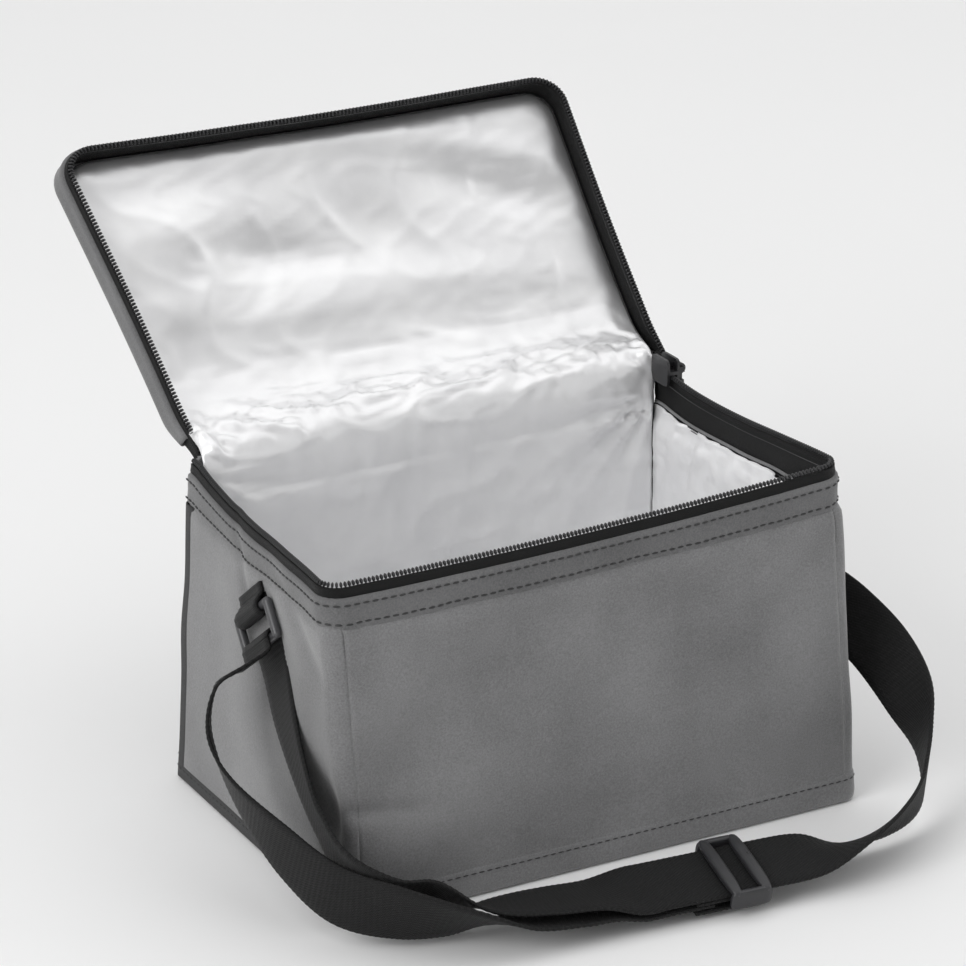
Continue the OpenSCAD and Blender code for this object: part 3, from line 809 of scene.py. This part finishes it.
def body_rim():
    band = cloth_grid("rim_band_fabric", soft(rim_strip_grid(0, BAND_ROWS, STRIP_STEP)), BAND, 0.6, flip=True)
    settle(band, "bag", "outer_fabric", "rim_band")
    grid = soft(rim_strip_grid(TAPE_INSET, tape_rows(WALL_Z, TAPE_Z), STRIP_STEP))
    tape = cloth_grid("zip_tape_body", grid, TAPE, 1.0, flip=True)
    settle(tape, "bag", "zip_tape", "body_zip_tape")
    line, out = rim_line(1.5, 1.45)
    flat = soft(np.column_stack([line, np.full(len(line), TAPE_Z + 0.9)]))
    side = np.column_stack([out, np.zeros(len(out))])
    along, up = bead_frames(flat, side)
    teeth = lumps("zip_teeth_body", flat, along, up, TOOTH, COIL)
    settle(teeth, "bag", "zip_coil", "body_zip_coil")
    for number, (height, push) in enumerate([(WALL_Z + 1.7, 0.72), (WALL_Z + 8.9, 0.58)]):
        line, out = rim_line(0, 3.3)
        row = soft(np.column_stack([line + out * (push + 0.72), np.full(len(line), height)]))
        along, up = bead_frames(row, np.tile((0.0, 0.0, 1.0), (len(row), 1)))
        sewn = lumps(f"rim_stitch_{number}", row, along, up, RIM_STITCH, DARK_THREAD)
        settle(sewn, "bag", "outer_fabric")


def body_shell():
    for side in ("front", "left", "right"):
        settle(body_fabric(side), "bag", "outer_fabric", side + "_panel", "foam_" + side)


body_shell()
body_rim()


# ---------------------------------------------------------------- lid
def lid_rim():
    rows = [(LID_TOP + WALL_Z - z, push) for z, push in BAND_ROWS]
    grid = lid_strip_grid(0, rows, STRIP_STEP, end_y=HINGE_Y - BAND_STOP)
    band = cloth_grid("lid_band_fabric", grid, BAND, 0.6)
    settle(band, "lid", "outer_fabric", "lid_band")
    grid = lid_strip_grid(TAPE_INSET, tape_rows(LID_TAPE, LID_TOP - 0.3), STRIP_STEP)
    tape = cloth_grid("zip_tape_lid", grid, TAPE, 1.0, flip=True)
    settle(tape, "lid", "zip_tape", "lid_zip_tape")
    line, out = rim_line(1.5, 1.45, corner=LID_R)
    closed = np.column_stack([line, np.full(len(line), LID_TAPE - 0.9)])
    flat = opened(soft_lid(closed))
    side = opened(np.column_stack([out, np.zeros(len(out))]) + (0, HINGE_Y, HINGE_Z)) - (0, HINGE_Y, HINGE_Z)
    along, up = bead_frames(flat, side)
    teeth = lumps("zip_teeth_lid", flat, along, up, TOOTH, COIL)
    settle(teeth, "lid", "zip_coil", "lid_zip_coil")


def lid_outer():
    """Outer panel of the lid: a soft board with a turned edge."""
    line, _ = rim_line(0, STRIP_STEP, corner=LID_R, end_y=HINGE_Y - BAND_STOP)
    hinge = np.column_stack([np.linspace(RIM_X, -RIM_X, 92)[1:-1], np.full(90, HINGE_Y - BAND_STOP)])
    edge = np.concatenate([line, hinge])
    shrink = [1.0, 0.995, 0.985, 0.97, 0.94, 0.9, 0.8, 0.65, 0.5, 0.33, 0.16, 0.04]
    rise = [-1.6, -0.5, 0.35, 0.85, 1.1, 1.2, 1.3, 1.35, 1.4, 1.4, 1.4, 1.4]
    rings = np.array([np.column_stack([edge * k, np.full(len(edge), LID_TOP + h)])
                      for k, h in zip(shrink, rise)])
    swell = (0.5 * waves(rings.reshape(-1, 3), 60, 31)).reshape(rings.shape[:2])
    rings[..., 2] += swell * (rings[..., 2] > LID_TOP + 1)
    rows, cols = rings.shape[:2]
    faces = grid_faces(rows, cols, closed=True)
    faces.append(tuple((rows - 1) * cols + k for k in range(cols)))
    points = opened(soft_lid(rings)).reshape(-1, 3)
    piece = make_piece("lid_outer_fabric", points, faces, OUTER, uv=rings.reshape(-1, 3)[:, :2])
    settle(thicken(piece, 1.0), "lid", "outer_fabric", "lid_panel", "lid_foam")


lid_rim()
lid_outer()


# ---------------------------------------------------------------- foil lining
LINING_IN = 4.4
FOIL_COLUMNS = 110
LID_EDGE = 63.8             # how far the lid's lining reaches from the middle towards the free edge
LID_WIDE = RIM_X - 2.5

# Swells (positive, towards the inside of the bag) and hollows of the lid's lining:
# x, distance from the hinge, direction, half length, half width, height
LID_DENTS = [
    (-62, 92, (1, 0.25), 30, 15, 2.4),
    (-34, 79, (1, -0.15), 24, 9, -2.6),
    (-72, 64, (1, 0.2), 18, 9, 1.5),
    (8, 84, (1, 0.1), 18, 16, -2.2),
    (60, 108, (1, -0.35), 34, 9, 2.2),
    (66, 88, (1, -0.5), 34, 13, -3.2),
    (40, 56, (1, -0.1), 40, 9, 1.5),
    (-30, 55, (1, 0.1), 30, 10, 1.4),
    (0, 126, (1, 0), 90, 9, 2.0),
    (-84, 40, (0.3, 1), 20, 7, -1.4),
]


def creases(points, scale, seed):
    """Sharp little ridges, about scale mm apart, from 0 to 1."""
    return (1 - np.abs(np.clip(waves(points, scale, seed, count=7), -1, 1))) ** 2


def grid_normals(grid):
    down, across = np.gradient(grid, axis=0), np.gradient(grid, axis=1)
    normal = np.cross(down, across)
    return normal / np.maximum(np.linalg.norm(normal, axis=2), 1e-9)[..., None]


def side_lining(side):
    heights = np.linspace(4.6, WALL_Z + 0.5, 62)
    insets = LINING_IN - 2.4 * smoothstep((heights - 104) / 9)
    grid = soft(wall_grid(side, heights, insets, front_r=7.5, back_r=7.0))
    flat = grid.reshape(-1, 3)
    rough = (0.9 * creases(flat * (1, 1, 0.6), 34, 11) + 0.45 * creases(flat, 13, 12)
             + 0.5 * waves(flat, 50, 13))
    near_top = 1 + 1.2 * np.exp(-((flat[:, 2] - 106) / 12) ** 2)
    flat = flat - outward(flat) * (rough * near_top)[:, None] * 1.3
    grid = tuck_seams(flat.reshape(grid.shape), -1.6, width=1.8)
    piece = cloth_grid(side + "_foil", grid, FOIL, 0.4)
    settle(piece, "bag", "lining", "lining_" + side)


def floor_lining():
    rings = []
    for k in (1.0, 0.985, 0.95, 0.88, 0.76, 0.62, 0.47, 0.31, 0.15, 0.03):
        loop = wall_loop(4.6, LINING_IN)
        rings.append(np.column_stack([loop[:, :2] * k, 4.6 + (1 - k) ** 0.2 * 0.8 + 0 * loop[:, 0]]))
    rings = np.array(rings)
    flat = rings.reshape(-1, 3)
    flat[:, 2] += 0.4 * creases(flat, 40, 15)
    rows, cols = rings.shape[:2]
    faces = [f[::-1] for f in grid_faces(rows, cols, closed=True)]
    faces.append(tuple((rows - 1) * cols + k for k in range(cols)))
    piece = make_piece("floor_foil", flat, faces, FOIL, uv=flat[:, :2])
    settle(thicken(piece, 0.4), "bag", "lining", "lining_bottom", "foam_bottom")


def lid_foil_rows():
    """Closed-position rows of the lid's lining, from near the hinge to the free edge."""
    reach = np.linspace(34, RIM_Y + LID_EDGE, 56)
    corner = 12.0
    past = np.clip(reach - (RIM_Y + LID_EDGE - corner), 0, corner)
    half = LID_WIDE - corner + np.sqrt(corner ** 2 - past ** 2)
    half = np.where(past > 0, half, LID_WIDE)
    return reach, half


def foil_back_and_lid():
    """One foil: up the back wall, over the hinge and across the lid."""
    across = np.linspace(1, -1, FOIL_COLUMNS)
    ends = np.sign(across) * (1 - (1 - np.abs(across)) ** 1.06)
    wall_z = np.linspace(4.8, 112, 52)
    wall = np.array([np.column_stack([
        (half_x(z) - LINING_IN - 0.4) * ends, np.full(FOIL_COLUMNS, half_y(z) - LINING_IN),
        np.full(FOIL_COLUMNS, z)]) for z in wall_z])
    wall_soft = soft(wall)

    reach, half = lid_foil_rows()
    lid = np.array([np.column_stack([
        w * ends, np.full(FOIL_COLUMNS, HINGE_Y - s), np.full(FOIL_COLUMNS, LID_LINING)])
        for s, w in zip(reach, half)])
    edge_gap = np.minimum((half[:, None] - np.abs(lid[..., 0])), (RIM_Y + LID_EDGE - reach)[:, None])
    pillow = 1.4 * (1 - np.exp(-np.clip(edge_gap, 0, None) / 8)) - 0.4
    for x, s, way, long, wide, height in LID_DENTS:
        way = np.array(way, float) / math.hypot(*way)
        dx, ds = lid[..., 0] - x, reach[:, None] - s
        run, off = dx * way[0] + ds * way[1], -dx * way[1] + ds * way[0]
        pillow += height * np.exp(-(run / long) ** 2 - (off / wide) ** 2) * (1 - np.exp(-edge_gap / 6))
    flat = lid.reshape(-1, 3)
    fine = 0.6 * creases(flat * (1, 0.7, 1), 42, 41) + 0.3 * creases(flat, 16, 42)
    lid[..., 2] -= pillow + fine.reshape(pillow.shape) * (1 - np.exp(-edge_gap / 5))
    lid_soft = opened(soft_lid(lid))
    lid_plain = opened(lid)

    section = [(62.1, 112), (61.9, 119), (62.4, 125.5), (64.2, 130.0), (67.8, 132.8), (73, 134.2),
               (79, 134.9), (85.5, 136.0), (92, 138.4), (97, 141.3)]
    start, end = wall[-1, 0, 1:], lid_plain[0].mean(axis=0)[1:]
    section = catmull_rom([start] + section[1:-1] + [tuple(end)], 5)[1:-1]
    share = np.linspace(0, 1, len(section) + 2)[1:-1]
    first_move = wall_soft[-1] - wall[-1]
    last_move = lid_soft[0] - np.column_stack([lid[0, :, 0], np.tile(end, (FOIL_COLUMNS, 1))])
    first_half, last_half = abs(wall[-1, 0, 0]), half[0]
    bridge = []
    for (y, z), t in zip(section, share):
        w = first_half * (1 - t) + last_half * t - 0.6 * math.sin(math.pi * t)
        row = np.column_stack([w * ends, np.full(FOIL_COLUMNS, y), np.full(FOIL_COLUMNS, z)])
        ease = float(smoothstep(t))
        bridge.append(row + first_move * (1 - ease) + last_move * ease)
    grid = np.concatenate([wall_soft, np.array(bridge), lid_soft])

    # Crinkles gather along the hinge and at its two ends, with pleats fanning down from the right end
    rows = np.arange(len(grid))[:, None]
    hinge_row = len(wall_soft) + len(bridge) / 2
    near = np.exp(-((rows - hinge_row - 3) / 13.0) ** 2)
    end_gap = (1 - np.abs(across))[None, :] * LID_WIDE
    gusset = np.exp(-(end_gap / 13) ** 2) * np.exp(-((rows - hinge_row) / 11.0) ** 2)
    flat = grid.reshape(-1, 3)
    long_folds = creases(flat * (0.35, 1, 1), 19, 51) + 0.5 * creases(flat * (0.6, 1, 1), 10, 52)
    long_folds = long_folds.reshape(near.shape[0], -1)
    crumple = (creases(flat, 14, 53) + 0.6 * waves(flat, 9, 54)).reshape(near.shape[0], -1)
    push = (0.25 + 2.8 * near * long_folds * (1 - np.exp(-end_gap / 10))
            + 3.0 * gusset * crumple * (1 - np.exp(-end_gap / 2)))
    for corner_x, count, width in ((96, 7, 46), (-96, 5, 34)):
        dx, dz = (corner_x - flat[:, 0]) * np.sign(corner_x), 122 - flat[:, 2]
        turn = np.arctan2(dz, np.maximum(dx, 0.1))
        far = np.hypot(dx, dz)
        fan = np.cos(turn * count * 2 + 0.6 * np.sin(far / 19)) ** 3
        on_wall = (flat[:, 1] < 66.5) * smoothstep((128 - flat[:, 2]) / 14)
        push += (2.0 * fan * np.exp(-(far / width) ** 2) * smoothstep(far / 16) * on_wall).reshape(push.shape)
    rumple = (1.1 * creases(flat * (0.5, 1, 0.8), 38, 55) + 0.5 * creases(flat, 15, 56)).reshape(push.shape)
    push = push + (rows < len(wall_soft)) * rumple
    push[:, 0] = push[:, -1] = 0
    grid = grid - grid_normals(grid) * push[..., None] * np.sign(grid_normals(grid)[10, 55, 1])
    piece = cloth_grid("back_and_lid_foil", grid, FOIL, 0.4)
    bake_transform(piece)
    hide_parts("lining_back", "lid_lining", "foam_back")


# ---------------------------------------------------------------- back, base and bindings
HINGE_STRIP_DEPTH = 14.4    # about the lid's depth where the hinge strip meets its outer panel


def back_fabric():
    """Back wall and the lid's hinge strip in one cloth, folded at the hinge."""
    columns = 104
    across = np.linspace(-1, 1, columns)
    rows = []
    for z in np.concatenate([np.linspace(FOLD_Z - 3, 112, 46), [116, 120, 123.5, 126.2, 128.2]]):
        w, r = half_x(z) - 1.46, BACK_R
        x = across * w
        past = np.clip(np.abs(x) - (half_x(z) - r), 0, r)
        y = half_y(z) - r + np.sqrt(np.maximum(r * r - past ** 2, 0))
        rows.append(np.column_stack([x, y, np.full(columns, z)]))
    wall = soft(np.array(rows))
    fold = [(66.5, 129.9), (67.5, 130.0), (68.5, 128.9)]
    back, drop = math.sin(LID_OPEN), math.cos(LID_OPEN)
    reach, depth = BAND_STOP, HINGE_STRIP_DEPTH
    strip = [(HINGE_Y - drop * reach * t + back * depth * t, HINGE_Z + back * reach * t + drop * depth * t)
             for t in (0.3, 0.42, 0.55, 0.68, 0.8, 0.92, 1.0)]
    moved = wall[-1] - rows[-1]
    tail = [np.column_stack([across * (RIM_X - 3.5 - 0.7 * step), np.full(columns, y), np.full(columns, z)])
            + moved
            for step, (y, z) in enumerate(fold + strip)]
    grid = np.concatenate([wall, np.array(tail)])
    piece = cloth_grid("back_fabric", grid, OUTER, 0.8)
    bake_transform(piece)
    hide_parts("back_panel", "lid_back_strip")


def loop_strip(name, first, last, rows, material, thick, slot, *nodes):
    """Strip along part of the wall outline; rows are (height, inset)."""
    columns = np.arange(first, last + 1) % LOOP
    grid = soft(np.array([wall_loop(z, inset)[columns] for z, inset in rows]))
    return settle(cloth_grid(name, grid, material, thick, flip=True), "bag", slot, *nodes)


def base_and_bindings():
    fold_rows = [(0.1, 3.2), (0.15, 1.6), (0.8, 0.3), (2.0, -0.5), (4.0, -0.85), (8.0, -0.8),
                 (FOLD_Z - 0.7, -0.75), (FOLD_Z, -0.45), (FOLD_Z + 0.1, 0.3), (FOLD_Z - 0.5, 0.6)]
    loop_strip("base_fold_front", AT_FRONT_LEFT - 4, AT_FRONT_RIGHT + ARC_COUNT,
               fold_rows, OUTER, 0.6, "outer_fabric")
    loop_strip("base_fold_back", AT_BACK_RIGHT + 3, AT_BACK_LEFT + ARC_COUNT - 3,
               fold_rows, OUTER, 0.6, "outer_fabric")
    hem_rows = [(0.1, 3.0), (0.1, 1.2), (0.7, -0.3), (1.8, -0.9), (3.0, -0.7), (4.2, -0.95), (5.6, -0.8),
                (6.1, -0.3), (5.9, 0.4)]
    for side, first, last in (("left", AT_BACK_LEFT + MID_ARC - LOOP, AT_FRONT_LEFT - 4),
                              ("right", AT_FRONT_RIGHT + ARC_COUNT - 1, AT_BACK_RIGHT + MID_ARC)):
        loop_strip("base_binding_" + side, first, last, hem_rows, BINDING, 0.6,
                   "binding", "binding_base_" + side)
    heights = np.linspace(1.0, WALL_Z - 0.5, 60)
    for side, first, last in (("left", AT_BACK_LEFT - 2, LOOP + 2),
                              ("right", AT_BACK_RIGHT - 2, AT_BACK_RIGHT + ARC_COUNT + 2)):
        columns = np.arange(first, last + 1) % LOOP
        rise = -0.9 + 1.1 * (np.abs(np.linspace(-1, 1, len(columns))) ** 8)
        grid = np.array([wall_loop(z, 0.0)[columns] for z in heights])
        flat = grid.reshape(-1, 3)
        grid = (flat - outward(flat) * np.tile(rise, len(heights))[:, None]).reshape(grid.shape)
        piece = cloth_grid("corner_binding_" + side, soft(grid), BINDING, 0.7, flip=True)
        settle(piece, "bag", "binding", "binding_back_" + side)
    rings = []
    for k in (1.0, 0.99, 0.95, 0.85, 0.7, 0.5, 0.3, 0.1):
        loop = wall_loop(0.4, 1.4)
        rings.append(np.column_stack([loop[:, :2] * k, np.full(len(loop), 0.35)]))
    rings = np.array(rings)
    rows, cols = rings.shape[:2]
    faces = grid_faces(rows, cols, closed=True)
    faces.append(tuple((rows - 1) * cols + k for k in range(cols)))
    piece = make_piece("bottom_fabric", rings.reshape(-1, 3), faces, OUTER, uv=rings.reshape(-1, 3)[:, :2])
    settle(thicken(piece, 0.8), "bag", "outer_fabric", "bottom_panel")


# ---------------------------------------------------------------- stitching
def stitch_row(name, line, up, body, slot, material, size=BASE_STITCH, pitch=3.2):
    line = even_steps(np.asarray(line, float), pitch)
    along, up = bead_frames(line, np.tile(np.array(up, float), (len(line), 1)))
    piece = lumps(name, line, along, up, size, material)
    return settle(piece, body, slot)


def loop_stitches(name, first, last, z, inset):
    columns = np.arange(first, last + 1) % LOOP
    line = soft(wall_loop(z, inset)[columns])
    stitch_row(name, line, (0, 0, 1), "bag", "outer_fabric", DARK_THREAD)


def all_stitches():
    loop_stitches("base_stitch_front", AT_FRONT_LEFT - 3, AT_FRONT_RIGHT + ARC_COUNT - 1, FOLD_Z - 1.8, -1.4)
    loop_stitches("base_stitch_back", AT_BACK_RIGHT + 4, AT_BACK_LEFT + ARC_COUNT - 4, FOLD_Z - 1.8, -1.4)
    loop_stitches("hem_stitch_left", AT_BACK_LEFT + MID_ARC + 2 - LOOP, AT_FRONT_LEFT - 5, 4.9, -1.5)
    loop_stitches("hem_stitch_right", AT_FRONT_RIGHT + ARC_COUNT, AT_BACK_RIGHT + MID_ARC - 2, 4.9, -1.5)


# ---------------------------------------------------------------- strap ends and adjuster
SWING_Z = 100.0
SWING_TILT = math.radians(-36.87)
RING_X, RING_BACK, RING_FRONT = 107.5, 6.0, 18.0
TURN_R = 2.75
PATCH_X = 103.6
PATCH_LOW, PATCH_HIGH = 88.2, 103.6
PATCH_W, PATCH_T, PATCH_STEPS = 26, 1.5, 45
SEAM_Y, SEAM_LOW, SEAM_HIGH = 11, 89.6, 102.2       # corners of the box seam on a patch


def strap_end(points, side):
    """From hanging straight down on the right to the rest angle on either side."""
    x, y, z = np.asarray(points, float).T
    c, s = math.cos(SWING_TILT), math.sin(SWING_TILT)
    return np.column_stack([side * x, y * c - z * s, SWING_Z + y * s + z * c])


def end_webbing(name, path, side, width, *nodes):
    """Webbing that runs in the plane across the side tab; path is (x, z) before the swing."""
    line = even_steps(np.array([(x, 0.0, z) for x, z in path]), 0.45)
    centre = strap_end(line, side)
    edge = strap_end(line + (0, 1, 0), side) - centre
    piece = webbing(name, centre, edge, width, WEB_T, WEBBING)
    return settle(piece, "strap", "webbing", *nodes)


def arc_points(x, z, r, first, last, count=12):
    turn = np.radians(np.linspace(first, last, count))
    return [(x + r * math.cos(t), z + r * math.sin(t)) for t in turn]


def strap_ends():
    for side, word in ((-1, "left"), (1, "right")):
        loop = [(104.6, 2.5), (104.6, -2)] + arc_points(RING_X, -RING_BACK, TURN_R, 180, 400)
        loop += [(106.4, -1), (106.1, 2.5)]
        end_webbing("tab_loop_webbing_" + word, loop, side, 22, "tab_loop_" + word)
        over = arc_points(RING_X, -RING_FRONT, TURN_R, 0, 180)
        if side > 0:
            over += [(RING_X - TURN_R, -RING_FRONT - k) for k in (1, 11, 22)]
            end_webbing("strap_end_right", over, side, WEB_W, "strap_turn_right", "strap_tail_right")
        else:
            end_webbing("strap_end_left", over, side, WEB_W, "strap_turn_left")
        heights = np.linspace(PATCH_LOW, PATCH_HIGH, PATCH_STEPS)
        line = np.array([(side * (PATCH_X - PATCH_T / 2), 0.0, z) for z in heights])
        across = np.tile((0.0, 1.0, 0.0), (PATCH_STEPS, 1))
        patch = webbing("tab_patch_webbing_" + word, line, across, PATCH_W, PATCH_T, WEBBING)
        settle(patch, "bag", "webbing", "tab_patch_" + word)
        x = side * (PATCH_X + 0.02)
        low_front, low_back = (x, -SEAM_Y, SEAM_LOW), (x, SEAM_Y, SEAM_LOW)
        high_front, high_back = (x, -SEAM_Y, SEAM_HIGH), (x, SEAM_Y, SEAM_HIGH)
        box = [low_front, low_back, high_back, high_front, low_front]
        for number, line in enumerate((box, [high_back, low_front], [high_front, low_back])):
            stitch_row(f"tab_stitch_{word}_{number}", line, (side * 1.0, 0.02, 0.03), "bag", "webbing",
                       GREY_THREAD, size=TAB_STITCH, pitch=2.8)


GLIDE_AT = np.array([25, -115.5, 11.5])
GLIDE_L, GLIDE_W = 16.0, 31.0
GLIDE_TILT, GLIDE_TURN = math.radians(14), math.radians(-4.764)
MID_BAR_Z = -3.7            # height of the tri-glide's middle bar on its own axes


def on_glide(points):
    x, y, z = np.asarray(points, float).T
    c, s = math.cos(GLIDE_TILT), math.sin(GLIDE_TILT)
    y, z = y * c - z * s, y * s + z * c
    c, s = math.cos(GLIDE_TURN), math.sin(GLIDE_TURN)
    return np.column_stack([x * c - y * s, x * s + y * c, z]) + GLIDE_AT


def rounded_bar(centre, half, square=0.42, rows=14, cols=24):
    """A bar with softly rounded edges: a superellipsoid."""
    polar = np.linspace(-math.pi / 2, math.pi / 2, rows)
    turn = np.linspace(0, 2 * math.pi, cols, endpoint=False)

    def power(v):
        return np.sign(v) * np.abs(v) ** square

    points = np.array([(power(math.cos(a)) * power(math.cos(b)),
                        power(math.cos(a)) * power(math.sin(b)),
                        power(math.sin(a)))
                       for a in polar for b in turn])
    return points * half + centre, grid_faces(rows, cols, closed=True)


def join_shapes(shapes):
    points, faces, start = [], [], 0
    for some, links in shapes:
        points.append(some)
        faces += [tuple(start + k for k in f) for f in links]
        start += len(some)
    return np.concatenate(points), faces


def adjuster():
    rail = (GLIDE_W - WEB_W) / 2 - 0.6
    half_w, half_l = GLIDE_W / 2, GLIDE_L / 2
    # Two side rails, two outer bars and the middle bar, each by its centre and half sizes
    shapes = [rounded_bar((0, side * (half_w - rail / 2), -0.85), (half_l, rail / 2, 3.85), square=0.4)
              for side in (-1, 1)]
    shapes += [rounded_bar((side * (half_l - 2.2), 0, 2.2), (2.4, half_w, 1.5), square=0.6)
               for side in (-1, 1)]
    shapes += [rounded_bar((0, 0, MID_BAR_Z), (1.5, half_w, 1.0), square=0.45)]
    points, faces = join_shapes(shapes)
    piece = make_piece("tri_glide_buckle", on_glide(points), faces, BUCKLE)
    settle(piece, "adjuster", "buckle", "tri_glide")
    path = [(-20, -1.7), (0.5, -1.7)] + arc_points(0.5, MID_BAR_Z, 2.0, 80, -80) + [(0.5, -5.7), (-20, -5.7)]
    line = even_steps(np.array([(x, 0.0, z) for x, z in path]), 0.5)
    centre = on_glide(line)
    edge = on_glide(line + (0, 1, 0)) - centre
    loop = webbing("adjuster_loop_webbing", centre, edge, WEB_W, WEB_T, WEBBING)
    settle(loop, "adjuster", "webbing", "strap_end_loop")
    return piece


for panel in ("front", "left", "right"):
    side_lining(panel)
floor_lining()
foil_back_and_lid()
back_fabric()
base_and_bindings()
all_stitches()
strap_ends()
buckle = adjuster()

HARD_NODES = {"zip_slider": METAL, "zip_puller": METAL, "ring_left": RING, "ring_right": RING}
for name, material in HARD_NODES.items():
    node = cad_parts[name]
    node.data.materials.clear()
    node.data.materials.append(material)
    soften = node.modifiers.new("edges", "BEVEL")
    soften.width = 0.25 * MM
    soften.segments = 2
    soften.limit_method = "ANGLE"

strap_strand("strap_main", MAIN_ROUTE, length=0.448, far_end="object")
strap_strand("strap_return", RETURN_ROUTE, length=0.253, far_end="fitting", with_pieces=[buckle])
